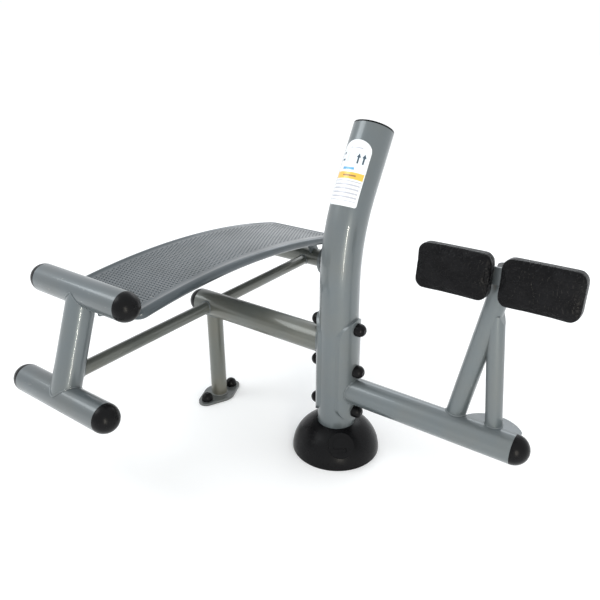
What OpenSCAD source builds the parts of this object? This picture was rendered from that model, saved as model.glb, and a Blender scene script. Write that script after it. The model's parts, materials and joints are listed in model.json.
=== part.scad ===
// Outdoor sit-up board and back-extension station on one bent post.
// Origin: post centre on the ground. +X towards the hip pads,
// +Y towards the head end of the sit-up board, +Z up. Millimetres.

/* [Post] */
// Outside diameter of the main post
post_d = 127; // [120:1:134]
// Wall thickness of the main post
post_wall = 4; // [3:0.5:6]
// Height at which the post starts to bend
post_straight = 610; // [560:5:700]
// Centre-line radius of the bend
post_bend_r = 559; // [545:1:570]
// How far the top leans back, in degrees
post_lean = 29.33; // [28:0.01:31]
// Straight length above the bend
post_top_len = 195; // [180:1:260]

/* [Base] */
// Diameter of the round base flange
flange_d = 260; // [240:2:270]
// Thickness of the base flange
flange_t = 12; // [8:1:16]
// Pitch circle of the ground bolts
anchor_pcd = 200; // [190:2:206]
// Ground bolt hole diameter
anchor_hole = 18; // [14:1:22]
// Outside diameter of the plastic base cover at the ground
cover_d = 297; // [290:1:310]
// Height of the plastic base cover
cover_h = 110; // [100:1:118]

/* [Beams] */
// Outside diameter of the beams, foot bars and upright
tube_d = 90; // [84:1:92]
// Wall thickness of these tubes
tube_wall = 3.5; // [2.5:0.5:5]
// Height of the left beam, which carries the board
left_z = 392; // [388:1:396]
// Distance from the post to the end of the left beam
left_len = 612; // [605:1:620]
// Height of the right beam, which carries the pads
right_z = 241; // [236:1:244]
// Distance from the post to the end of the right beam
right_len = 595; // [590:1:600]

/* [Saddles] */
// Height of a curved saddle plate
saddle_h = 368; // [364:1:370]
// Width of a saddle plate, seen along the bolts
saddle_w = 116; // [112:1:120]
// Thickness of a saddle plate
saddle_t = 8; // [6:0.5:10]
// Height of the middle through bolt
bolt_z = 315; // [313:1:317]
// Spacing of the through bolts
bolt_pitch = 150; // [148:1:152]
// Through bolt diameter
bolt_d = 16; // [12:1:16]

/* [Foot frame] */
// Distance from the post to the middle of the board
frame_x = 551; // [548:1:554]
// Upper foot bar, distance forward of the post
bar1_y = 538.5; // [535:0.5:542]
// Upper foot bar height
bar1_z = 625; // [622:1:628]
// Lower foot bar, distance forward of the post
bar2_y = 653.5; // [650:0.5:657]
// Lower foot bar height
bar2_z = 321; // [318:1:324]
// Length of the foot bars and of the head bar, without caps
bar_len = 374; // [360:1:390]

/* [Board] */
// Width of the flat sheet between the rolled edges
deck_w = 336; // [320:1:344]
// Radius of the long curve of the board
deck_r = 2900; // [2800:10:3000]
// Height of the highest line of the board
deck_z = 615; // [612:1:618]
// Where that line is, measured towards the foot end
deck_mid = 60; // [50:1:70]
// Sheet thickness
deck_t = 4; // [3:0.5:5]
// How far the sheet lies below the top of its rolled edge
deck_drop = 2.9; // [2:0.1:4]
// Diameter of the rolled edge
edge_d = 32; // [28:1:34]
// Foot end of the board, distance forward of the post
deck_low = 480; // [475:1:482]
// Head end of the board, distance behind the post
deck_high = 575; // [570:1:578]

/* [Spine] */
// Diameter of the long tube under the board
spine_d = 44; // [40:1:48]
// Rise of that tube towards the head end, in degrees
spine_rise = 1.1; // [0.8:0.1:1.4]
// Diameter of the head bar
head_d = 76; // [72:1:78]
// Head bar, distance behind the post
head_y = 600; // [596:1:604]
// Head bar height
head_z = 416; // [412:1:420]

/* [Leg] */
// Diameter of the support leg
leg_d = 60; // [56:1:62]
// Spacing of the two leg plate bolts
leg_pitch = 138; // [136:1:140]
// Thickness of the leg plate
leg_plate_t = 10; // [8:1:12]

/* [Pads] */
// Width of one pad
pad_w = 198; // [185:1:200]
// Height of one pad
pad_h = 123; // [110:1:126]
// Thickness of the padding
pad_t = 42; // [35:1:46]
// Gap between the two pads
pad_gap = 30; // [29:1:44]
// Height of the pad centres
pad_z = 746; // [742:1:750]
// Sideways position of the gap between the pads
pad_x = 494; // [491:0.5:497]
// How far the pads tip back, in degrees
pad_tip = 5; // [3:0.5:7]
// Diameter of the front strut, which carries the pads
strut_a_d = 59; // [56:1:60]
// Diameter of the back strut
strut_b_d = 49; // [44:1:50]

/* [Hidden] */
$fn = 96;
steel = [0.50, 0.54, 0.57];
zinc = [0.72, 0.73, 0.74];
black = [0.07, 0.07, 0.075];
rubber = [0.09, 0.09, 0.095];
board = [0.55, 0.43, 0.28];
paper = [0.88, 0.90, 0.91];
post_r = post_d / 2;
tube_r = tube_d / 2;
head_r = head_d / 2;
spine_r = spine_d / 2;
fit = 0.1;
bolt_zs = [bolt_z - bolt_pitch, bolt_z, bolt_z + bolt_pitch];
saddle_r = post_r + fit + saddle_t;
cap_r = 21.5;
cap_h = 27;
washer_x = saddle_r + 3;
foot_lean = atan2(bar2_y - bar1_y, bar1_z - bar2_z);
foot_gap = sqrt(pow(bar2_y - bar1_y, 2) + pow(bar1_z - bar2_z, 2));
spine_z = 393.8;
deck_c = deck_z - deck_r;
deck_a1 = asin((deck_low - deck_mid) / deck_r);
deck_a2 = asin((deck_high + deck_mid) / deck_r);
edge_r = edge_d / 2;
strut_a_tilt = 11.14;
strut_a_x = 412;
strut_b_tilt = -5.88;
strut_b_x = 521.4;
strut_y = 22;
toe_z = 279;
toe_t = 4;
board_t = 8;
carrier_y = 8.6;
carrier_t = 8;
pad_back = carrier_y + carrier_t;
leg_bolts = [-leg_pitch / 2, leg_pitch / 2];
disc_x = 455;
label_w = 91.4;
label_h = 141;
label_bend = 6.1;

// ---- shared shapes ----
module along_x(x, y, z) translate([x, y, z]) rotate([0, 90, 0]) children();

// moves to a point of the bend, turned along the post there
module at_lean(a) {
    translate([0, post_bend_r * (1 - cos(a)), post_straight + post_bend_r * sin(a)])
        rotate([-a, 0, 0])
        children();
}

// hollow tube along X between two ends
module tube_x(x1, x2, y, z, d, wall) {
    along_x(x1, y, z)
        difference() {
            cylinder(d = d, h = x2 - x1);
            translate([0, 0, -1])
                cylinder(d = d - 2 * wall, h = x2 - x1 + 2);
        }
}

// half-ball end cap with a plug that fits inside a tube, ball towards +Z
module ball_cap(r, wall) {
    rotate_extrude() {
        intersection() {
            circle(r);
            square([r, r]);
        }
        translate([0, -24])
            square([r - wall - fit, 24.01]);
    }
}

// low domed cover over a nut, open underneath, dome towards +Z
module nut_cover(r, h) {
    rotate_extrude()
        difference() {
            union() {
                square([r, h - 20]);
                intersection() {
                    translate([0, h - 20])
                        scale(1)
                        circle(r);
                    translate([0, h - 20])
                        square([r, 20]);
                }
            }
            translate([0, -1])
                square([r - 4.5, h - 9]);
        }
}

module hex_nut(d, h) {
    difference() {
        cylinder(d = d * 1.5 / cos(30), h = h, $fn = 6);
        translate([0, 0, -1])
            cylinder(d = d + 0.2, h = h + 2);
    }
}

module washer(d, big, t) {
    difference() {
        cylinder(d = big, h = t);
        translate([0, 0, -1])
            cylinder(d = d + 1, h = t + 2);
    }
}

module bolt_holes(d, reach) {
    for (z = bolt_zs)
        along_x(-reach, 0, z)
            cylinder(d = d, h = 2 * reach);
}

module both_sides() {
    children();
    mirror([1, 0, 0])
        children();
}

// ---- post ----
module post_section() {
    difference() {
        circle(d = post_d);
        circle(d = post_d - 2 * post_wall);
    }
}

module post_tube() {
    color(steel) {
        difference() {
            translate([0, 0, flange_t])
                linear_extrude(post_straight - flange_t)
                post_section();
            bolt_holes(bolt_d + 1, post_d);
        }
        translate([0, post_bend_r, post_straight])
            rotate([90, 0, -90])
            rotate_extrude(angle = post_lean)
            translate([post_bend_r, 0])
            post_section();
        at_lean(post_lean)
            linear_extrude(post_top_len)
            post_section();
    }
}

module post_top_cap() {
    color(black)
        at_lean(post_lean)
        translate([0, 0, post_top_len]) {
            translate([0, 0, 0.01])
                cylinder(d = post_d - 1, h = 5);
            translate([0, 0, -22])
                difference() {
                    cylinder(d = post_d - 2 * post_wall - 2 * fit, h = 22.02);
                    translate([0, 0, -1])
                        cylinder(d = post_d - 2 * post_wall - 10, h = 20);
                }
        }
}

module base_flange() {
    color(steel)
        difference() {
            cylinder(d = flange_d, h = flange_t);
            translate([0, 0, -1])
                cylinder(d = 60, h = flange_t + 2);
            for (a = [45:90:315])
                rotate([0, 0, a])
                translate([anchor_pcd / 2, 0, -1])
                cylinder(d = anchor_hole, h = flange_t + 2);
        }
}

// outline of the cover's wall: a quarter round and a flat shoulder
module cover_outline(r) {
    intersection() {
        translate([cover_d / 2 - cover_h, 0])
            circle(r);
        translate([cover_d / 2 - cover_h, -1])
            square([cover_h + 2, cover_h + 2]);
    }
}

module base_cover() {
    color(black)
        difference() {
            rotate_extrude()
                difference() {
                    union() {
                        intersection() {
                            cover_outline(cover_h);
                            square([cover_d, cover_h]);
                        }
                        translate([post_r + 1.5, 0])
                            square([cover_d / 2 - cover_h - post_r, cover_h]);
                    }
                    cover_outline(cover_h - 4);
                    translate([0, -1])
                        square([post_r + 1.5, cover_h + 2]);
                }
            plug_place()
                translate([0, 0, -30])
                cylinder(d = 30, h = 60);
        }
}

module plug_place() {
    rotate([0, 0, -48.8])
        translate([cover_d / 2 - cover_h + cover_h * cos(44.3), 0, cover_h * sin(44.3)])
        rotate([0, 45.7, 0])
        children();
}

// moulded cap of the access hole: flange, raised disc and finger slot
module cover_plug() {
    color(black)
        difference() {
            union() {
                difference() {
                    plug_place()
                        union() {
                            translate([0, 0, -12])
                                cylinder(d = 84, h = 15);
                            cylinder(d = 54, h = 6);
                        }
                    rotate_extrude()
                        cover_outline(cover_h + 0.05);
                }
                plug_place()
                    translate([0, 0, -14])
                    cylinder(d = 29.6, h = 15);
            }
            plug_place()
                translate([9, -38, 0.8])
                cube([14, 54, 12]);
        }
}

// ---- clamp ----
module crush_sleeves() {
    color(zinc)
        for (z = bolt_zs)
            tube_x(-(post_r - post_wall - 0.7), post_r - post_wall - 0.7, 0, z, bolt_d + 11, 5);
}

// curved plate with round ends on the +X side
module saddle() {
    difference() {
        intersection() {
            difference() {
                cylinder(r = saddle_r, h = 900);
                translate([0, 0, -1])
                    cylinder(r = post_r + fit, h = 902);
            }
            along_x(0, 0, bolt_z)
                union() {
                    translate([-(saddle_h - saddle_w) / 2, -saddle_w / 2, 0])
                        cube([saddle_h - saddle_w, saddle_w, 100]);
                    for (s = [-1, 1])
                        translate([s * (saddle_h - saddle_w) / 2, 0, 0])
                            cylinder(d = saddle_w, h = 100);
                }
        }
        bolt_holes(bolt_d + 1, 200);
    }
}

module saddle_right() {
    color(steel)
        saddle();
}

module saddle_left() {
    color(steel)
        mirror([1, 0, 0])
        saddle();
}

module through_bolts() {
    color(zinc)
        for (z = bolt_zs) {
            along_x(-washer_x - 16, 0, z)
                cylinder(d = bolt_d, h = 2 * washer_x + 16);
            along_x(washer_x, 0, z)
                cylinder(d = bolt_d * 1.5 / cos(30), h = 10, $fn = 6);
        }
}

module bolt_washers() {
    color(zinc)
        for (z = bolt_zs)
            both_sides()
                along_x(saddle_r, 0, z)
                washer(bolt_d, 30, 3);
}

module bolt_nuts() {
    color(zinc)
        for (z = bolt_zs)
            mirror([1, 0, 0])
                along_x(washer_x, 0, z)
                hex_nut(bolt_d, 13);
}

module bolt_caps() {
    color(black)
        for (z = bolt_zs)
            both_sides()
                difference() {
                    along_x(saddle_r - 3.4, 0, z)
                        nut_cover(cap_r, cap_h + 3.4);
                    cylinder(r = saddle_r + 0.05, h = 900);
                }
}

// ---- beams ----
module left_beam() {
    color(steel)
        difference() {
            tube_x(-left_len, 0, 0, left_z, tube_d, tube_wall);
            cylinder(r = saddle_r, h = 900);
        }
}

module right_beam() {
    color(steel)
        difference() {
            tube_x(0, right_len, 0, right_z, tube_d, tube_wall);
            cylinder(r = saddle_r, h = 900);
        }
}

module beam_end_caps() {
    color(black) {
        along_x(right_len + 0.1, 0, right_z)
            ball_cap(tube_r, tube_wall);
        mirror([1, 0, 0])
            along_x(left_len + 0.1, 0, left_z)
            ball_cap(tube_r, tube_wall);
    }
}

// ---- leg ----
module leg() {
    color(steel)
        translate([-frame_x, 0, 0])
        difference() {
            translate([0, 0, leg_plate_t])
                cylinder(d = leg_d, h = left_z - leg_plate_t);
            cylinder(d = leg_d - 6, h = left_z + 1);
            along_x(-100, 0, left_z)
                cylinder(d = tube_d, h = 200);
        }
}

module leg_plate() {
    color(steel)
        translate([-frame_x, 0, 0])
        difference() {
            union() {
                cylinder(r = 60, h = leg_plate_t);
                for (y = [-73, 73])
                    translate([0, y, 0])
                        cylinder(r = 30, h = leg_plate_t);
                linear_extrude(leg_plate_t)
                    polygon([[54.7, 24.7], [27.4, 85.3], [-27.4, 85.3], [-54.7, 24.7],
                        [-54.7, -24.7], [-27.4, -85.3], [27.4, -85.3], [54.7, -24.7]]);
            }
            for (y = leg_bolts)
                translate([0, y, -1])
                    cylinder(d = bolt_d + 2, h = leg_plate_t + 2);
        }
}

module leg_anchors() {
    color(zinc)
        for (y = leg_bolts)
            translate([-frame_x, y, 0]) {
                cylinder(d = bolt_d - 0.2, h = leg_plate_t + 22);
                translate([0, 0, leg_plate_t])
                    washer(bolt_d - 1.2, 30, 3);
                translate([0, 0, leg_plate_t + 3])
                    hex_nut(bolt_d - 0.4, 13);
            }
}

module leg_bolt_caps() {
    color(black)
        for (y = leg_bolts)
            translate([-frame_x, y, leg_plate_t])
                nut_cover(cap_r, cap_h + 1);
}

// ---- foot frame ----
// outside of the leaning upright, used to cope the tubes that meet it
module upright_rod(d) {
    translate([-frame_x, -bar2_y, bar2_z])
        rotate([-foot_lean, 0, 0])
        cylinder(d = d, h = foot_gap);
}

module foot_upright() {
    color(steel)
        difference() {
            upright_rod(tube_d - 1);
            upright_rod(tube_d - 1 - 2 * tube_wall);
            along_x(-frame_x - 100, -bar1_y, bar1_z)
                cylinder(d = tube_d + 0.02, h = 200);
            along_x(-frame_x - 100, -bar2_y, bar2_z)
                cylinder(d = tube_d + 0.02, h = 200);
        }
}

module foot_bar_upper() {
    color(steel)
        tube_x(-frame_x - bar_len / 2, -frame_x + bar_len / 2, -bar1_y, bar1_z, tube_d, tube_wall);
}

module foot_bar_lower() {
    color(steel)
        tube_x(-frame_x - bar_len / 2, -frame_x + bar_len / 2, -bar2_y, bar2_z, tube_d, tube_wall);
}

module cap_pair(y, z, r, wall) {
    for (s = [0, 1])
        translate([-frame_x, y, z])
            mirror([s, 0, 0])
            along_x(bar_len / 2 + 0.1, 0, 0)
            ball_cap(r, wall);
}

module foot_bar_caps() {
    color(black) {
        cap_pair(-bar1_y, bar1_z, tube_r, tube_wall);
        cap_pair(-bar2_y, bar2_z, tube_r, tube_wall);
    }
}

// ---- spine and head bar ----
module spine_rod(y1, y2, d) {
    translate([-frame_x, 0, spine_z])
        rotate([spine_rise - 90, 0, 0])
        translate([0, 0, y1])
        cylinder(d = d, h = y2 - y1);
}

module spine_lower() {
    color(steel)
        difference() {
            spine_rod(-640, 0, spine_d);
            spine_rod(-641, 1, spine_d - 5);
            upright_rod(tube_d - 0.98);
            along_x(-frame_x - 100, 0, left_z)
                cylinder(d = tube_d + 0.02, h = 200);
        }
}

module spine_upper() {
    color(steel)
        difference() {
            spine_rod(0, head_y, spine_d);
            spine_rod(-1, head_y + 1, spine_d - 5);
            along_x(-frame_x - 100, 0, left_z)
                cylinder(d = tube_d + 0.02, h = 200);
            along_x(-frame_x - 100, head_y, head_z)
                cylinder(d = head_d + 0.02, h = 200);
        }
}

module head_bar() {
    color(steel)
        tube_x(-frame_x - bar_len / 2, -frame_x + bar_len / 2, head_y, head_z, head_d, 3);
}

module head_bar_caps() {
    color(black)
        cap_pair(head_y, head_z, head_r, 3);
}

module head_bar_disc() {
    color(steel)
        along_x(-disc_x, head_y, head_z)
        washer(head_d - 1 + fit, 130, 14);
}

module head_bar_buffer() {
    color(rubber)
        along_x(-disc_x + 14.1, head_y, head_z)
        washer(head_d - 1 + fit, 118, 20);
}

// ---- board ----
// sweep of a board section; section x is the radius, y is across the board
module board_sweep(a1, a2) {
    translate([-frame_x, -deck_mid, deck_c])
        rotate([90, 0, -90])
        rotate([0, 0, 90 - a1])
        rotate_extrude(angle = a1 + a2, $fn = 360)
        children();
}

// end rim across the board
module end_rim(a) {
    translate([-frame_x, -deck_mid, deck_c])
        rotate([-a, 0, 0])
        translate([0, 0, deck_r - edge_r]) {
            along_x(-deck_w / 2, 0, 0)
                cylinder(r = edge_r - 0.4, h = deck_w);
            for (s = [-1, 1])
                translate([s * deck_w / 2, 0, 0])
                    sphere(r = edge_r + 0.4);
        }
}

module deck() {
    color(steel)
        union() {
            board_sweep(deck_a1, deck_a2)
                translate([deck_r - deck_t - deck_drop, -deck_w / 2])
                square([deck_t, deck_w]);
            board_sweep(deck_a1, deck_a2)
                for (s = [-1, 1])
                    translate([deck_r - edge_r, s * deck_w / 2])
                        circle(r = edge_r);
            end_rim(-deck_a1);
            end_rim(deck_a2);
        }
}

// two plates that carry the board on the head bar
module deck_lugs() {
    color(steel)
        difference() {
            for (s = [-1, 1])
                translate([-frame_x + s * 40 - 3, 0, 0])
                    rotate([90, 0, 90])
                    linear_extrude(6)
                    polygon([[572, 440], [628, 440], [590, 500], [572, 530], [520, 545], [520, 530]]);
            along_x(-frame_x - 100, head_y, head_z)
                cylinder(d = head_d + 0.02, h = 200);
            deck_under();
        }
}

// everything above the underside of the sheet
module deck_under() {
    board_sweep(deck_a1 + 2, deck_a2 + 2)
        translate([deck_r - deck_t - deck_drop - 0.05, -deck_w])
        square([120, 2 * deck_w]);
    end_rim(-deck_a1);
    end_rim(deck_a2);
}

// two tabs from the upper foot bar to the underside of the board
module deck_front_tabs() {
    color(steel)
        difference() {
            for (s = [-1, 1])
                translate([-frame_x + s * 70 - 3, 0, 0])
                    rotate([90, 0, 90])
                    linear_extrude(6)
                    polygon([[-552, 600], [-500, 606], [-484, 584], [-478, 558], [-500, 552],
                        [-545, 566]]);
            along_x(-frame_x - 100, -bar1_y, bar1_z)
                cylinder(d = tube_d + 0.02, h = 200);
            end_rim(-deck_a1);
        }
}

// ---- struts ----
module strut_rod(x, tilt, z1, z2, d) {
    translate([x, strut_y, 300])
        rotate([0, tilt, 0])
        translate([0, 0, z1 - 300])
        cylinder(d = d, h = z2 - z1);
}

module right_rod(d) {
    along_x(0, 0, right_z)
        cylinder(d = d, h = right_len);
}

module strut_a() {
    color(steel)
        difference() {
            strut_rod(strut_a_x, strut_a_tilt, 230, 768, strut_a_d);
            strut_rod(strut_a_x, strut_a_tilt, 229, 769, strut_a_d - 6);
            right_rod(tube_d + 0.02);
            translate([300, -100, 100])
                cube([300, 200, right_z - 100]);
        }
}

module strut_a_cap() {
    color(black)
        strut_rod(strut_a_x, strut_a_tilt, 768.05, 771, strut_a_d - 1);
    color(black)
        strut_rod(strut_a_x, strut_a_tilt, 752, 768.06, strut_a_d - 6.2);
}

module strut_b() {
    color(steel)
        difference() {
            strut_rod(strut_b_x, strut_b_tilt, 250, 640, strut_b_d);
            strut_rod(strut_b_x, strut_b_tilt, 249, 580, strut_b_d - 5);
            right_rod(tube_d + 0.02);
            strut_rod(strut_a_x, strut_a_tilt, 229, 790, strut_a_d + 0.02);
            translate([400, -100, 100])
                cube([300, 200, toe_z + toe_t - 99.98]);
            translate([518, -100, 592.5])
                rotate([0, -23, 0])
                cube([100, 200, 200]);
            translate([400, -100, 626])
                cube([300, 200, 200]);
        }
}

// half-round toe plate behind the crest of the right beam
module toe_plate() {
    color(steel)
        difference() {
            intersection() {
                translate([524, -24, toe_z])
                    cylinder(r = 96, h = toe_t);
                translate([400, 0, toe_z - 1])
                    cube([204, 120, toe_t + 2]);
            }
            strut_rod(strut_a_x, strut_a_tilt, 230, 760, strut_a_d + 0.1);
            right_rod(tube_d + 0.02);
        }
}

// ---- pads ----
// moves to the back face of the pads: x along the pads, z up the pads
module pad_place() {
    translate([pad_x, -pad_back, pad_z])
        rotate([-pad_tip, 0, 0])
        children();
}

module pad_carrier() {
    color(steel)
        difference() {
            pad_place()
                difference() {
                    translate([-175, 0.1, -24])
                        cube([350, carrier_t, 48]);
                    for (s = [-1, 1])
                        for (dx = [60, 150])
                            translate([s * dx, -1, 0])
                                rotate([-90, 0, 0])
                                cylinder(d = 9, h = 20);
                }
            strut_rod(strut_a_x, strut_a_tilt, 230, 790, strut_a_d + 0.02);
        }
}

// flat block with round corners in the pad plane, thickness towards -Y
module pad_block(w, h, t, r) {
    rotate([90, 0, 0])
        union() {
            translate([-w / 2 + r, -h / 2, 0])
                cube([w - 2 * r, h, t]);
            translate([-w / 2, -h / 2 + r, 0])
                cube([w, h - 2 * r, t]);
            for (sx = [-1, 1])
                for (sz = [-1, 1])
                    translate([sx * (w / 2 - r), sz * (h / 2 - r), 0])
                        cylinder(r = r, h = t);
        }
}

module pad_board(side) {
    color(board)
        pad_place()
        translate([side * (pad_gap + pad_w) / 2, -0.1, 0])
        pad_block(pad_w - 12, pad_h - 12, board_t, 20);
}

module pad_board_left() pad_board(-1);

module pad_board_right() pad_board(1);

module pad_screws() {
    color(zinc)
        pad_place()
        for (s = [-1, 1])
            for (dx = [60, 150])
                translate([s * dx, 0, 0])
                    rotate([-90, 0, 0]) {
                        translate([0, 0, carrier_t + 0.15])
                            cylinder(d = 16, h = 4);
                        translate([0, 0, 0.05])
                            cylinder(d = 8, h = carrier_t + 0.2);
                    }
}

module pad(side) {
    color(rubber)
        pad_place()
        translate([side * (pad_gap + pad_w) / 2, -board_t - 0.5, 0])
        pad_block(pad_w, pad_h, pad_t, 26);
}

module pad_left() pad(-1);

module pad_right() pad(1);

// ---- label ----
// thin curved plate on the front of the leaning part
module label_section() {
    intersection() {
        difference() {
            circle(r = post_r + 0.6);
            circle(r = post_r + 0.02);
        }
        translate([0, -label_w / 2])
            square([post_d, label_w]);
    }
}

module label_plate() {
    color(paper) {
        translate([0, post_bend_r, post_straight])
            rotate([90, 0, -90])
            rotate([0, 0, post_lean - label_bend])
            rotate_extrude(angle = label_bend)
            translate([post_bend_r, 0])
            label_section();
        at_lean(post_lean)
            translate([0, 0, 0.02])
            linear_extrude(label_h)
            rotate([0, 0, -90])
            label_section();
    }
}

post_tube();
post_top_cap();
base_flange();
base_cover();
cover_plug();
crush_sleeves();
saddle_left();
saddle_right();
through_bolts();
bolt_washers();
bolt_nuts();
bolt_caps();
left_beam();
right_beam();
beam_end_caps();
leg();
leg_plate();
leg_anchors();
leg_bolt_caps();
foot_upright();
foot_bar_upper();
foot_bar_lower();
foot_bar_caps();
spine_lower();
spine_upper();
head_bar();
head_bar_caps();
head_bar_disc();
head_bar_buffer();
deck();
deck_lugs();
deck_front_tabs();
strut_a();
strut_b();
strut_a_cap();
toe_plate();
pad_carrier();
pad_board_left();
pad_board_right();
pad_screws();
pad_left();
pad_right();
label_plate();
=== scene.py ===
import json
import math

import bmesh
import bpy
from mathutils import Matrix, Vector, noise


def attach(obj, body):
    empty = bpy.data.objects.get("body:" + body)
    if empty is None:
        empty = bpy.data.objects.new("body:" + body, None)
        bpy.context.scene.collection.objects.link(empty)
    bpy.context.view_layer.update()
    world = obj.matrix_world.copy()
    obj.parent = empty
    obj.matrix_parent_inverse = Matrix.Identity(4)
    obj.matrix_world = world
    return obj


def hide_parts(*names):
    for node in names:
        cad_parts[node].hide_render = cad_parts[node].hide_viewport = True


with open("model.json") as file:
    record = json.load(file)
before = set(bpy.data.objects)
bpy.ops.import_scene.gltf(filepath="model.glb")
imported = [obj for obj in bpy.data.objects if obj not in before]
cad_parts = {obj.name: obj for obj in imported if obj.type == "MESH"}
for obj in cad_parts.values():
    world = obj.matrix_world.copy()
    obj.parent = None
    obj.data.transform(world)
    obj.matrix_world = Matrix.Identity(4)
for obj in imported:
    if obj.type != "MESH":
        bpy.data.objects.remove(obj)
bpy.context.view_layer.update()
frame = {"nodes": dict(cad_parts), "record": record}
print("frame loaded:", len(frame["nodes"]), "nodes")


# a socket with arithmetic; plain numbers are allowed on either side
class Val:
    def __init__(self, tree, socket):
        self.tree = tree
        self.socket = socket

    def calc(self, operation, *values):
        node = self.tree.nodes.new("ShaderNodeMath")
        node.operation = operation
        for place, value in enumerate(values):
            connect(self.tree, node.inputs[place], value)
        return Val(self.tree, node.outputs[0])

    def __add__(self, other):
        return self.calc("ADD", self, other)

    def __radd__(self, other):
        return self.calc("ADD", other, self)

    def __sub__(self, other):
        return self.calc("SUBTRACT", self, other)

    def __rsub__(self, other):
        return self.calc("SUBTRACT", other, self)

    def __mul__(self, other):
        return self.calc("MULTIPLY", self, other)

    def __rmul__(self, other):
        return self.calc("MULTIPLY", other, self)

    def __truediv__(self, other):
        return self.calc("DIVIDE", self, other)

    def __lt__(self, other):
        return self.calc("LESS_THAN", self, other)

    def __gt__(self, other):
        return self.calc("GREATER_THAN", self, other)

    def size(self):
        return self.calc("ABSOLUTE", self)

    def fraction(self):
        return self.calc("FRACT", self)

    def held(self):  # kept between 0 and 1
        result = self.calc("ADD", self, 0.0)
        result.socket.node.use_clamp = True
        return result


def connect(tree, target, value):
    if isinstance(value, Val):
        tree.links.new(value.socket, target)
    elif hasattr(target.default_value, "__len__") and len(target.default_value) == 4 and len(value) == 3:
        target.default_value = (*value, 1.0)
    else:
        target.default_value = value


# one material and its node tree
class Finish:
    def __init__(self, name, **settings):
        self.material = bpy.data.materials.new(name)
        self.material.use_nodes = True
        self.tree = self.material.node_tree
        self.shader = self.tree.nodes["Principled BSDF"]
        self.set(**settings)

    # Base_Color=..., Roughness=... straight onto the shader
    def set(self, **inputs):
        for name, value in inputs.items():
            connect(self.tree, self.shader.inputs[name.replace("_", " ")], value)

    def add(self, kind, settings=None, inputs=None, output=0):
        node = self.tree.nodes.new("ShaderNode" + kind)
        for name, value in (settings or {}).items():
            setattr(node, name, value)
        for name, value in (inputs or {}).items():
            connect(self.tree, node.inputs[name], value)
        return Val(self.tree, node.outputs[output])

    def place(self):  # position on the whole object, in metres
        return self.add("TexCoord", output=3)

    def speckle(self, scale, detail=3.0, stretch=None, rough=0.55):
        where = self.place()
        if stretch:
            where = self.add("Mapping", inputs={"Vector": where, "Scale": stretch})
        settings = {"Vector": where, "Scale": scale, "Detail": detail, "Roughness": rough}
        return self.add("TexNoise", inputs=settings)

    def ramp(self, value, low, high):
        return ((value - low) / (high - low)).held()

    def blend(self, factor, first, second):
        return self.add("Mix", {"data_type": "RGBA"}, {0: factor, 6: first, 7: second}, output=2)

    def bump(self, height, distance):
        return self.add("Bump", inputs={"Height": height, "Distance": distance, "Strength": 1.0})


paintLook = {
    "colour": (0.116, 0.137, 0.145),
    "dust": (0.160, 0.158, 0.140),
    "bare": (0.24, 0.24, 0.23),
    "flake": (0.24, 0.26, 0.27),
    "gloss": 0.34,
    "peel": 0.00006,  # depth of the orange peel
    "coat": 0.55,
}


def toned(colour, shade):
    return tuple(a * b for a, b in zip(colour, shade))


def makePaint(name, wear=0.0, shade=(1.0, 1.0, 1.0)):
    f = Finish(name, Metallic=0.30, Coat_Roughness=0.05)
    height = f.add("SeparateXYZ", inputs={"Vector": f.place()}, output=2)
    cloud = f.speckle(7.0, 4.0)
    fine = f.speckle(420.0, 2.0)
    flake = f.speckle(1500.0, 1.0)
    scuff = f.speckle(34.0, 6.0, (1.0, 1.0, 3.0), 0.7)
    dusty = f.ramp(cloud, 0.42, 0.72) * 0.35 + f.ramp(height, 0.09, 0.0) * 0.5
    worn = f.ramp(scuff, 0.70 - wear * 0.10, 0.74 - wear * 0.10) * (0.25 + wear * 0.5)
    base = f.blend(dusty.held(), toned(paintLook["colour"], shade), toned(paintLook["dust"], shade))
    base = f.blend((flake - 0.45).held() * 0.35, base, toned(paintLook["flake"], shade))
    base = f.blend(worn, base, paintLook["bare"])
    rough = paintLook["gloss"] + (cloud - 0.5) * 0.10 + dusty * 0.12 + worn * 0.10
    bumps = fine * 0.5 + flake * 0.15 - worn * 0.6
    coat = (paintLook["coat"] - dusty * 0.45).held()
    f.set(Base_Color=base, Roughness=rough, Coat_Weight=coat, Normal=f.bump(bumps, paintLook["peel"]))
    return f.material


plasticLook = {
    "colour": (0.004, 0.004, 0.0045),
    "scuffed": (0.013, 0.013, 0.013),
    "gloss": 0.26,
    "grain": 0.00012,
}


def makePlastic(name):
    f = Finish(name, Specular_IOR_Level=0.13)
    cloud = f.speckle(16.0, 5.0)
    grain = f.add("TexVoronoi", inputs={"Vector": f.place(), "Scale": 900.0})
    scuff = f.speckle(60.0, 7.0, (1.0, 3.0, 1.0), 0.75)
    worn = f.ramp(scuff, 0.60, 0.72)
    base = f.blend(worn * 0.5, plasticLook["colour"], plasticLook["scuffed"])
    f.set(
        Base_Color=base,
        Roughness=plasticLook["gloss"] + (cloud - 0.45) * 0.25 + worn * 0.15,
        Normal=f.bump(grain * 0.6 + cloud * 1.2, plasticLook["grain"]),
    )
    return f.material


zincLook = {"colour": (0.62, 0.63, 0.63), "dull": (0.40, 0.41, 0.40), "gloss": 0.32}


def makeZinc(name):
    f = Finish(name, Metallic=1.0)
    spangle = f.add("TexVoronoi", inputs={"Vector": f.place(), "Scale": 260.0})
    cloud = f.speckle(90.0, 4.0)
    base = f.blend(f.ramp(cloud, 0.35, 0.70), zincLook["colour"], zincLook["dull"])
    f.set(
        Base_Color=base,
        Roughness=zincLook["gloss"] + spangle * 0.15 + (cloud - 0.5) * 0.2,
        Normal=f.bump(spangle + cloud, 0.00005),
    )
    return f.material


skinLook = {
    "colour": (0.003, 0.003, 0.0035),
    "raised": (0.008, 0.008, 0.009),
    "gloss": 0.34,
    "wrinkle": 0.0026,
    "grain": 0.0003,
}


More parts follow.
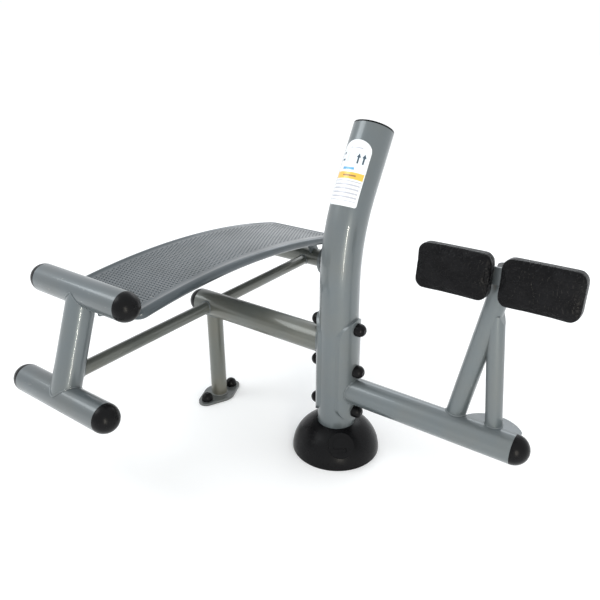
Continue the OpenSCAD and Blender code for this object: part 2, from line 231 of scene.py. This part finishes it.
def makePadSkin(name):
    f = Finish(name, Specular_IOR_Level=0.10)
    wave = f.speckle(26.0, 2.0, (1.0, 1.0, 1.3), 0.5)
    drift = f.add("TexNoise", inputs={"Vector": f.place(), "Scale": 30.0}, output=1)
    reach = (0.02, 0.02, 0.02)
    warp = f.add("VectorMath", {"operation": "MULTIPLY_ADD"}, {0: drift, 1: reach, 2: f.place()})
    creases = f.add("TexVoronoi", {"feature": "DISTANCE_TO_EDGE"}, {"Vector": warp, "Scale": 85.0})
    pebble = f.add("TexVoronoi", {"feature": "SMOOTH_F1"}, {"Vector": f.place(), "Scale": 620.0})
    raised = f.ramp(creases, 0.02, 0.20)
    base = f.blend(f.ramp(wave, 0.40, 0.68) * 0.6 + raised * 0.2, skinLook["colour"], skinLook["raised"])
    coarse = f.bump(raised * 0.35 + wave, skinLook["wrinkle"])
    fine = f.add("Bump", inputs={"Height": pebble, "Distance": skinLook["grain"], "Normal": coarse})
    f.set(Base_Color=base, Roughness=skinLook["gloss"] + (wave - 0.5) * 0.25 - raised * 0.06, Normal=fine)
    return f.material


boardLook = {"light": (0.40, 0.25, 0.13), "dark": (0.20, 0.115, 0.055)}


def makeBoard(name):
    f = Finish(name)
    rings = f.add(
        "TexWave",
        {"bands_direction": "Z"},
        {"Vector": f.place(), "Scale": 18.0, "Distortion": 9.0, "Detail": 3.0, "Detail Scale": 1.2},
    )
    fibre = f.speckle(220.0, 4.0, (0.08, 1.0, 1.0))
    grain = (rings * 0.6 + f.ramp(fibre, 0.35, 0.65) * 0.4).held()
    f.set(
        Base_Color=f.blend(grain, boardLook["light"], boardLook["dark"]),
        Roughness=0.55 + (fibre - 0.5) * 0.2,
        Normal=f.bump(fibre, 0.0002),
    )
    return f.material


labelLook = {
    "film": (0.86, 0.89, 0.91),
    "panel": (0.42, 0.58, 0.70),
    "arrow": (0.03, 0.06, 0.09),
    "strip": (0.90, 0.50, 0.06),
    "rule": (0.36, 0.36, 0.42),
    "bar": (0.10, 0.36, 0.62),
    "stripBar": (0.30, 0.17, 0.05),
    "rules": 17.5,  # grey rules that would fit on the whole label
}


# plain coloured fields only: a panel, two arrows, a strip and rules
def makeLabel(name):
    f = Finish(name, Coat_Weight=0.5, Coat_Roughness=0.08)
    across = f.add("SeparateXYZ", inputs={"Vector": f.add("UVMap", {"uv_map": "UVMap"})}, output=0)
    up = f.add("SeparateXYZ", inputs={"Vector": f.add("UVMap", {"uv_map": "UVMap"})}, output=1)

    def field(left, right, low, high):
        return (across > left) * (across < right) * (up > low) * (up < high)

    def arrow(middle, low, high):
        stem = ((across - middle).size() < 0.026) * (up > low) * (up < high - 0.05)
        head = ((across - middle).size() < (high - up)) * (up > high - 0.065) * (up < high)
        return (stem + head).held()

    mottled = f.speckle(120.0, 3.0)
    base = f.blend(field(0.04, 0.96, 0.58, 0.84) * 0.22, labelLook["film"], labelLook["panel"])
    base = f.blend(field(0.28, 0.58, 0.64, 0.80) * 0.35, base, labelLook["panel"])
    marks = (field(0.08, 0.16, 0.76, 0.80) + field(0.08, 0.20, 0.66, 0.69)).held()
    base = f.blend(marks, base, labelLook["arrow"])
    base = f.blend(field(0.22, 0.62, 0.525, 0.565), base, labelLook["bar"])
    base = f.blend((arrow(0.66, 0.63, 0.79) + arrow(0.83, 0.63, 0.79)).held(), base, labelLook["arrow"])
    base = f.blend(field(0.03, 0.97, 0.385, 0.49), base, labelLook["strip"])
    base = f.blend(field(0.30, 0.74, 0.425, 0.45), base, labelLook["stripBar"])
    lines = (up * labelLook["rules"]).fraction() < 0.42
    lines = lines * (across > 0.06) * (across < 0.94)
    lower = lines * (up > 0.07) * (up < 0.36)
    upper = lines * (up > 0.86) * (up < 0.90) * (across > 0.30) * (across < 0.72)
    base = f.blend((lower + upper).held() * 0.75, base, labelLook["rule"])
    f.set(Base_Color=base, Roughness=0.34 + (mottled - 0.5) * 0.15, Normal=f.bump(mottled, 0.00004))
    return f.material


paint = makePaint("greyPaint")
paintUsed = makePaint("greyPaintUsed", 0.7, (0.78, 0.79, 0.80))
# the board's copy of the grey paint, darkened to about two fifths and with some wear: painted shade on the
# board's top face
paintBoardShaded = makePaint("greyPaintBoardShaded", 0.4, (0.36, 0.41, 0.45))
# olive-tinted copy of the grey paint, with a little wear: a painted warm reflection on the left beam, leg,
# spine and head bar
paintWarmReflection = makePaint("greyPaintWarmReflection", 0.2, (0.98, 0.90, 0.76))
plastic = makePlastic("blackPlastic")
zinc = makeZinc("zincPlate")
padSkin = makePadSkin("padSkin")
boardWood = makeBoard("sealedPlywood")
labelFilm = makeLabel("labelFilm")
print("finishes made")

nodeFinish = {
    "grey_paint": paint,
    "black_plastic": plastic,
    "zinc_steel": zinc,
    "pad_rubber": padSkin,
    "pad_board": boardWood,
    "label_print": labelFilm,
}
usedNodes = ["foot_bar_upper", "foot_bar_lower", "toe_plate", "leg_plate"]
# parts that take the olive tint of the painted warm reflection
warmReflectionNodes = ["left_beam", "leg", "spine_lower", "spine_upper", "head_bar"]

for part in frame["record"]["subparts"]:
    piece = frame["nodes"][part["node"]]
    finish = nodeFinish[part["material_slot"]]
    if part["node"] in usedNodes:
        finish = paintUsed
    if part["node"] in warmReflectionNodes:
        finish = paintWarmReflection
    if not piece.material_slots:
        piece.data.materials.append(finish)
    for place in piece.material_slots:
        place.material = finish
print("finishes put on the frame")


# vertices and faces to an object that rides with the station
def addPiece(name, points, faces, finish, smooth=True):
    mesh = bpy.data.meshes.new(name)
    mesh.from_pydata([tuple(p) for p in points], [], faces)
    mesh.materials.append(finish)
    if smooth:
        mesh.polygons.foreach_set("use_smooth", [True] * len(mesh.polygons))
    mesh.update()
    piece = bpy.data.objects.new(name, mesh)
    bpy.context.scene.collection.objects.link(piece)
    return piece


# faces between rows of points; each row is a loop when closed
def loft(rows, closed=True, ends=False):
    count = len(rows[0])
    points = [p for row in rows for p in row]
    faces = []
    for r in range(len(rows) - 1):
        for c in range(count if closed else count - 1):
            n = (c + 1) % count
            faces.append((r * count + c, r * count + n, (r + 1) * count + n, (r + 1) * count + c))
    if ends:
        faces.append(tuple(reversed(range(count))))
        faces.append(tuple(range((len(rows) - 1) * count, len(rows) * count)))
    return points, faces


board = {
    "centre": (-0.551, -0.060),  # across, and along to the highest line
    "top": 0.615,
    "curve": 2.900,
    "footEnd": math.asin(0.420 / 2.900),
    "headEnd": math.asin(0.635 / 2.900),
    "fold": 0.168,  # half width to the middle of the rolled edge
    "roll": 0.0157,
    "corner": 0.020,
    "pitch": 0.0136,
    "rows": 0.0120,
    "hole": 0.0031,
    "collar": 0.0045,  # depth of the pressed rim of each hole
    "sheet": 0.0015,
    "tuck": math.radians(35),  # where the sheet meets the rolled edge
}


def onBoard(across, along, height):
    a = along / board["curve"]
    r = board["curve"] + height
    return Vector((
        board["centre"][0] + across,
        board["centre"][1] + r * math.sin(a),
        board["top"] - board["curve"] + r * math.cos(a),
    ))


# perforated sheet: square cells with an eight-sided hole, every other row moved by half a cell
def makeBoardSheet():
    drop = board["roll"] * (math.cos(board["tuck"]) - 1)
    inset = board["roll"] * math.sin(board["tuck"])
    start = -board["curve"] * board["footEnd"]
    end = board["curve"] * board["headEnd"]
    half = board["pitch"] / 2
    columns = int((2 * board["fold"] - 0.044) / board["pitch"])
    rowCount = int((end - start - 0.060) / board["rows"])
    left = -columns * half
    low = (start + end - rowCount * board["rows"]) / 2
    points = []
    faces = []
    known = {}

    def point(x, y):
        key = (round(x * 1e6), round(y * 1e6))
        if key not in known:
            known[key] = len(points)
            points.append(onBoard(x, y, drop))
        return known[key]

    for row in range(rowCount):
        y0 = low + row * board["rows"]
        y1 = y0 + board["rows"] / 2
        y2 = y0 + board["rows"]
        shift = half if row % 2 else 0.0
        for col in range(columns - (row % 2)):
            x0 = left + shift + col * board["pitch"]
            x1 = x0 + half
            x2 = x0 + board["pitch"]
            rim = [point(x, y) for x, y in
                   ((x0, y0), (x1, y0), (x2, y0), (x2, y1), (x2, y2), (x1, y2), (x0, y2), (x0, y1))]
            hole = []
            for step in range(8):
                a = math.radians(225 + 45 * step)
                hole.append(point(x1 + board["hole"] * math.cos(a), y1 + board["hole"] * math.sin(a)))
            for step in range(8):
                n = (step + 1) % 8
                faces.append((rim[step], rim[n], hole[n], hole[step]))
            lip = len(points)
            for step in range(8):
                a = math.radians(225 + 45 * step)
                r = board["hole"] * 0.94
                points.append(onBoard(x1 + r * math.cos(a), y1 + r * math.sin(a), drop - board["collar"]))
            for step in range(8):
                n = (step + 1) % 8
                faces.append((hole[step], hole[n], lip + n, lip + step))
        if row % 2:
            for x0 in (left, left + (columns - 0.5) * board["pitch"]):
                x2 = x0 + half
                faces.append(tuple(point(x, y) for x, y in
                                   ((x0, y0), (x2, y0), (x2, y1), (x2, y2), (x0, y2), (x0, y1))))
    # edge of the perforated field, once round, and the matching points on the fold
    right = -left
    high = low + rowCount * board["rows"]
    inner = []
    outer = []
    normals = []
    wide = board["fold"]
    c = board["corner"]

    def corner(x, y, sx, sy, first):
        for step in range(0, 7):
            a = math.radians(first + 15 * step)
            inner.append(point(x, y))
            middle = end - c if sy > 0 else start + c
            outer.append((sx * (wide - c) + c * math.cos(a), middle + c * math.sin(a)))
            normals.append((math.cos(a), math.sin(a)))

    corner(left, low, -1, -1, 180)
    for k in range(1, columns * 2):
        inner.append(point(left + k * half, low))
        outer.append((left + k * half, start))
        normals.append((0, -1))
    corner(right, low, 1, -1, 270)
    for k in range(1, rowCount * 2):
        inner.append(point(right, low + k * board["rows"] / 2))
        outer.append((wide, low + k * board["rows"] / 2))
        normals.append((1, 0))
    corner(right, high, 1, 1, 0)
    for k in range(columns * 2 - 1, 0, -1):
        inner.append(point(left + k * half, high))
        outer.append((left + k * half, end))
        normals.append((0, 1))
    corner(left, high, -1, 1, 90)
    for k in range(rowCount * 2 - 1, 0, -1):
        inner.append(point(left, low + k * board["rows"] / 2))
        outer.append((-wide, low + k * board["rows"] / 2))
        normals.append((-1, 0))
    loops = [inner]
    turn = -board["tuck"]
    for step in range(27):
        loop = []
        for (x, y), (nx, ny) in zip(outer, normals):
            out = board["roll"] * math.sin(turn)
            up = board["roll"] * (math.cos(turn) - 1)
            loop.append(len(points))
            points.append(onBoard(x + nx * out, y + ny * out, up))
        loops.append(loop)
        turn += math.radians(12.4)
    total = len(inner)
    for a, b in zip(loops, loops[1:]):
        for k in range(total):
            n = (k + 1) % total
            face = [a[k], b[k], b[n], a[n]]
            face = [v for place, v in enumerate(face) if v not in face[:place]]
            if len(face) > 2:
                faces.append(tuple(face))
    # the perforated sheet takes the darkened board paint, which is painted shade
    piece = addPiece("boardSheet", points, faces, paintBoardShaded)
    mesh = piece.data
    work = bmesh.new()
    work.from_mesh(mesh)
    bmesh.ops.recalc_face_normals(work, faces=work.faces)
    work.to_mesh(mesh)
    work.free()
    highest = max(mesh.polygons, key=lambda p: p.center.z)
    if highest.normal.z < 0:
        mesh.flip_normals()
    thick = piece.modifiers.new("thickness", "SOLIDIFY")
    thick.thickness = board["sheet"]
    thick.offset = -1
    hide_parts("deck")
    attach(piece, "root")
    return piece


makeBoardSheet()
print("board made")

bead = {"radius": 0.0030, "ripple": 0.16, "steps": 132, "waves": 40, "sides": 8}


# points where a branch tube first meets a main tube
def meeting(start, direction, radius, mainPoint, mainDirection, mainRadius):
    start = Vector(start)
    d = Vector(direction).normalized()
    m = Vector(mainDirection).normalized()
    side = d.cross(m).normalized()
    other = d.cross(side)
    found = []
    for k in range(bead["steps"]):
        a = 2 * math.pi * k / bead["steps"]
        p = start + side * (radius * math.cos(a)) + other * (radius * math.sin(a))
        w = p - Vector(mainPoint)
        w -= m * w.dot(m)
        v = d - m * d.dot(m)
        qa, qb, qc = v.dot(v), 2 * w.dot(v), w.dot(w) - mainRadius ** 2
        inside = max(qb * qb - 4 * qa * qc, 0.0)
        found.append(p + d * ((-qb - math.sqrt(inside)) / (2 * qa)))
    return found


def circlePoints(centre, normal, radius):
    n = Vector(normal).normalized()
    side = n.orthogonal().normalized()
    other = n.cross(side)
    return [
        Vector(centre) + side * (radius * math.cos(2 * math.pi * k / bead["steps"]))
        + other * (radius * math.sin(2 * math.pi * k / bead["steps"]))
        for k in range(bead["steps"])
    ]


# rippled bead of weld along a closed line
def makeBead(name, line, thick=1.0):
    rows = []
    count = len(line)
    for k, p in enumerate(line):
        along = (line[(k + 1) % count] - line[k - 1]).normalized()
        side = along.orthogonal().normalized()
        if k:
            side = (lastSide - along * lastSide.dot(along)).normalized()
        lastSide = side
        other = along.cross(side)
        ripple = 1 + bead["ripple"] * math.sin(2 * math.pi * bead["waves"] * k / count)
        ripple += 0.15 * noise.noise(p * 180)
        r = bead["radius"] * ripple * thick
        turns = [2 * math.pi * s / bead["sides"] for s in range(bead["sides"])]
        rows.append([p + side * (r * math.cos(t)) + other * (r * math.sin(t)) for t in turns])
    rows.append(rows[0])
    points, faces = loft(rows)
    piece = addPiece(name, points, faces, paint)
    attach(piece, "root")
    return piece


lean = Vector((0, 0.1150, 0.3045)).normalized()  # along the foot frame's upright
spineUp = Vector((0, math.cos(math.radians(1.1)), math.sin(math.radians(1.1))))
bars = {
    "post": ((0, 0, 0), (0, 0, 1), 0.0716),
    "leftBeam": ((-0.551, 0, 0.392), (1, 0, 0), 0.045),
    "rightBeam": ((0.3, 0, 0.241), (1, 0, 0), 0.045),
    "footUpper": ((-0.551, -0.5385, 0.625), (1, 0, 0), 0.045),
    "footLower": ((-0.551, -0.6535, 0.321), (1, 0, 0), 0.045),
    "upright": ((-0.551, -0.596, 0.473), tuple(lean), 0.0445),
    "headBar": ((-0.551, 0.600, 0.416), (1, 0, 0), 0.038),
}
joints = {
    "weldLeftBeam": ((-0.3, 0, 0.392), (1, 0, 0), 0.045, "post"),
    "weldRightBeam": ((0.3, 0, 0.241), (-1, 0, 0), 0.045, "post"),
    "weldLegTop": ((-0.551, 0, 0.2), (0, 0, 1), 0.030, "leftBeam"),
    "weldUprightTop": ((-0.551, -0.596, 0.473), tuple(lean), 0.0445, "footUpper"),
    "weldUprightFoot": ((-0.551, -0.596, 0.473), tuple(-lean), 0.0445, "footLower"),
    "weldSpineFoot": ((-0.551, -0.3, 0.3882), tuple(-spineUp), 0.022, "upright"),
    "weldSpineBeamFront": ((-0.551, -0.3, 0.3882), tuple(spineUp), 0.022, "leftBeam"),
    "weldSpineBeamBack": ((-0.551, 0.3, 0.3996), tuple(-spineUp), 0.022, "leftBeam"),
    "weldSpineHead": ((-0.551, 0.3, 0.3996), tuple(spineUp), 0.022, "headBar"),
    "weldFrontStrut": ((0.4690, 0.022, 0.5895), (-0.1932, 0, -0.9812), 0.0295, "rightBeam"),
}
for name, (start, direction, radius, main) in joints.items():
    makeBead(name, meeting(start, direction, radius, *bars[main]))
makeBead("weldLegPlate", circlePoints((-0.551, 0, 0.011), (0, 0, 1), 0.0305))
# the back strut stands partly on the beam and partly on the toe plate
backFoot = circlePoints((0.5232, 0.022, 0), (0, 0, 1), 0.0246)
for p in backFoot:
    crest = 0.241 + math.sqrt(max(0.045 ** 2 - p.y ** 2, 0.0)) if abs(p.y) < 0.045 else 0.0
    p.z = max(0.2833, crest)
makeBead("weldBackStrut", backFoot, 0.8)
print("weld beads made")

pad = {
    "middle": (0.494, -0.0166, 0.746),
    "tip": math.radians(5),
    "apart": 0.2280,
    "width": 0.192,
    "height": 0.117,
    "front": 0.0492,
    "back": 0.0088,
    "corner": 0.025,
    "round": 0.006,
    "voxel": 0.004,
    "pressure": 4.0,
    "cap": 0.004,
    "spread": 0.03,  # the board keeps the outline; the front does most of the swelling
    "limits": ((-0.1010, 0.1010), (-0.0504, -0.0087), (-0.0636, 0.0636)),  # of the finished skin
    "lumps": 38,
    "crest": 0.0495,
}


def roundedLoop(width, height, corner, steps=8):
    loop = []
    for sx, sz, first in ((1, 1, 0), (-1, 1, 90), (-1, -1, 180), (1, -1, 270)):
        for k in range(steps + 1):
            a = math.radians(first + 90 * k / steps)
            x = sx * (width / 2 - corner) + corner * math.cos(a)
            z = sz * (height / 2 - corner) + corner * math.sin(a)
            loop.append((x, z))
    return loop


# block with rounded front edges, before it is swollen
def padBlank():
    rows = []
    deep = pad["front"] - pad["back"]
    profile = [(0.0015, 0.0), (0.0, 0.0015)]
    for k in range(7):
        a = math.radians(15 * k)
        profile.append((pad["round"] * (1 - math.cos(a)), deep - pad["round"] * (1 - math.sin(a)) - 0.0012))
    for inset, crown in ((0.020, 0.0004), (0.030, 0.0009), (0.040, 0.0012)):
        profile.append((inset, deep - 0.0012 + crown))
    for inset, depth in profile:
        corner = max(pad["corner"] - inset, 0.004)
        loop = roundedLoop(pad["width"] - 2 * inset, pad["height"] - 2 * inset, corner)
        rows.append([(x, -pad["back"] - depth, z) for x, z in loop])
    return loft(rows, ends=True)


# inflates the skin; the back face stays flat on its board
def swell(piece):
    held = piece.vertex_groups.new(name="held")
    held.add([v.index for v in piece.data.vertices if v.co.y > -pad["back"] - 0.003], 1.0, "REPLACE")
    cloth = piece.modifiers.new("swell", "CLOTH")
    cloth.settings.use_pressure = True
    cloth.settings.uniform_pressure_force = pad["pressure"]
    cloth.settings.effector_weights.gravity = 0
    cloth.settings.vertex_group_mass = "held"
    cloth.settings.quality = 6
    scene = bpy.context.scene
    for step in range(1, 21):
        scene.frame_set(step)
    shown = piece.evaluated_get(bpy.context.evaluated_depsgraph_get())
    swollen = [v.co.copy() for v in shown.data.vertices]
    piece.modifiers.remove(cloth)
    scene.frame_set(1)
    for v, target in zip(piece.data.vertices, swollen):
        step = target - v.co
        step.x *= pad["spread"]
        step.z *= pad["spread"]
        if step.length > pad["cap"]:
            step *= pad["cap"] / step.length
        v.co += step
    piece.vertex_groups.clear()


def makePads():
    points, faces = padBlank()
    left = addPiece("padLeft", points, faces, padSkin)
    remesh = left.modifiers.new("even", "REMESH")
    remesh.mode = "VOXEL"
    remesh.voxel_size = pad["voxel"]
    even = bpy.data.meshes.new_from_object(left.evaluated_get(bpy.context.evaluated_depsgraph_get()))
    left.modifiers.clear()
    left.data = even
    swell(left)
    # scales the swollen skin to the finished width, depth and height
    for axis, (low, high) in enumerate(pad["limits"]):
        values = [v.co[axis] for v in left.data.vertices]
        least, most = min(values), max(values)
        for v in left.data.vertices:
            v.co[axis] = low + (v.co[axis] - least) * (high - low) / (most - least)
    # worn hollows and lumps of a hand-filled skin
    for v in left.data.vertices:
        depth = min(1.0, (-v.co.y - 0.012) / 0.02)
        if depth > 0:
            lump = noise.noise(v.co * pad["lumps"])
            if v.co.y > -pad["crest"]:
                v.co.y += 0.0011 * depth * (lump - 0.35)
            else:
                v.co.y += 0.0008 * abs(lump)
    left.data.polygons.foreach_set("use_smooth", [True] * len(left.data.polygons))
    left.data.materials.clear()
    left.data.materials.append(padSkin)
    right = bpy.data.objects.new("padRight", left.data.copy())
    bpy.context.scene.collection.objects.link(right)
    for piece, side, node in ((left, -1, "pad_left"), (right, 1, "pad_right")):
        turned = Matrix.Translation(pad["middle"]) @ Matrix.Rotation(-pad["tip"], 4, "X")
        turned = turned @ Matrix.Translation((side * pad["apart"] / 2, 0, 0))
        if side > 0:
            turned = turned @ Matrix.Rotation(math.pi, 4, "Y")
        piece.data.transform(turned)
        finer = piece.modifiers.new("finer", "SUBSURF")
        finer.levels = 1
        finer.render_levels = 1
        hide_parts(node)
        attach(piece, "root")


makePads()
print("pads made")

post = {"straight": 0.610, "bend": 0.559, "lean": math.radians(29.33), "radius": 0.0635}
label = {"half": math.radians(45.2), "low": 0.8385, "high": 1.0345, "stand": 0.00045, "arch": 0.034}


# point on the post's skin: distance along it, angle round from the front
def onPost(along, angle, stand):
    lean = min(max((along - post["straight"]) / post["bend"], 0.0), post["lean"])
    y = post["bend"] * (1 - math.cos(lean))
    z = min(along, post["straight"]) + post["bend"] * math.sin(lean)
    extra = max(along - post["straight"] - post["bend"] * post["lean"], 0.0)
    centre = Vector((0, y + extra * math.sin(lean), z + extra * math.cos(lean)))
    out = Vector((math.sin(angle), -math.cos(angle) * math.cos(lean), math.cos(angle) * math.sin(lean)))
    return centre + out * (post["radius"] + stand)


def makeLabelPlate():
    columns, levels = 40, 44
    rows = []
    texture = []
    for r in range(levels + 1):
        row = []
        for c in range(columns + 1):
            u = c / columns
            side = 2 * u - 1
            top = label["high"] - label["arch"] * (1 - math.sqrt(max(1 - side * side, 0.0)))
            low = label["low"] + 0.004 * max(0.0, abs(side) - 0.93) / 0.07
            along = low + (top - low) * r / levels
            row.append(onPost(along, side * label["half"], label["stand"]))
            texture.append((u, (along - label["low"]) / (label["high"] - label["low"])))
        rows.append(row)
    points, faces = loft(rows, closed=False)
    piece = addPiece("labelPlate", points, faces, labelFilm)
    layer = piece.data.uv_layers.new(name="UVMap")
    for corner in piece.data.loops:
        layer.data[corner.index].uv = texture[corner.vertex_index]
    thick = piece.modifiers.new("thickness", "SOLIDIFY")
    thick.thickness = 0.0003
    thick.offset = -1
    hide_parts("label_plate")
    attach(piece, "root")


makeLabelPlate()
print("label made")

studio = {
    "reach": 40,
    "gap": 0.0005,  # floor below the lowest point
    "floor": (0.93, 0.93, 0.925),
    "stain": (0.90, 0.90, 0.90),
    "sky": (0.96, 0.98, 1.0),
    "skyStrength": 1.05,
    "glow": 0.12,
    "lamps": {  # place, aim, width, height, power, colour
        "softKey": ((-2.8, -2.2, 3.6), (-0.1, 0, 0.4), 2.2, 2.2, 60, (0.95, 0.98, 1.0)),
        "tallStrip": ((2.35, -2.35, 0.75), (0.0, 0, 0.75), 0.07, 1.6, 34, (1.0, 0.94, 0.82)),
        "rim": ((-1.0, 3.2, 2.4), (-0.2, 0.2, 0.5), 2.4, 1.2, 20, (0.92, 0.96, 1.0)),
    },
}


view = {
    "place": (0.9489, -1.5129, 1.3233),
    "turn": (66.515, 0, 36.091),
    "lens": 36.94,
    "sensor": 36,
}


def makeStudio():
    reach = studio["reach"]
    low = -studio["gap"]
    corners = [(-reach, -reach, low), (reach, -reach, low), (reach, reach, low), (-reach, reach, low)]
    f = Finish("paleFloor", Roughness=0.9, Emission_Strength=studio["glow"])
    f.set(Emission_Color=(1.0, 1.0, 1.0, 1.0))
    cloud = f.speckle(2.0, 3.0)
    f.set(Base_Color=f.blend((cloud - 0.5).held() * 0.1, studio["floor"], studio["stain"]))
    mesh = bpy.data.meshes.new("floor")
    mesh.from_pydata(corners, [], [(0, 1, 2, 3)])
    mesh.materials.append(f.material)
    floor = bpy.data.objects.new("floor", mesh)
    bpy.context.scene.collection.objects.link(floor)

    world = bpy.data.worlds.new("studio")
    world.use_nodes = True
    back = world.node_tree.nodes["Background"]
    back.inputs["Color"].default_value = (*studio["sky"], 1)
    back.inputs["Strength"].default_value = studio["skyStrength"]
    bpy.context.scene.world = world

    for name, (place, aim, wide, high, power, colour) in studio["lamps"].items():
        lamp = bpy.data.lights.new(name, "AREA")
        lamp.shape = "RECTANGLE"
        lamp.size = wide
        lamp.size_y = high
        lamp.energy = power
        lamp.color = colour
        holder = bpy.data.objects.new(name, lamp)
        holder.location = place
        holder.rotation_euler = (Vector(aim) - Vector(place)).to_track_quat("-Z", "Y").to_euler()
        bpy.context.scene.collection.objects.link(holder)

    eye = bpy.data.cameras.new("view")
    eye.sensor_width = view["sensor"]
    eye.lens = view["lens"]
    camera = bpy.data.objects.new("view", eye)
    camera.location = view["place"]
    camera.rotation_euler = tuple(math.radians(turn) for turn in view["turn"])
    bpy.context.scene.collection.objects.link(camera)
    bpy.context.scene.camera = camera
    bpy.context.scene.view_settings.view_transform = "Standard"


makeStudio()
print("studio made")
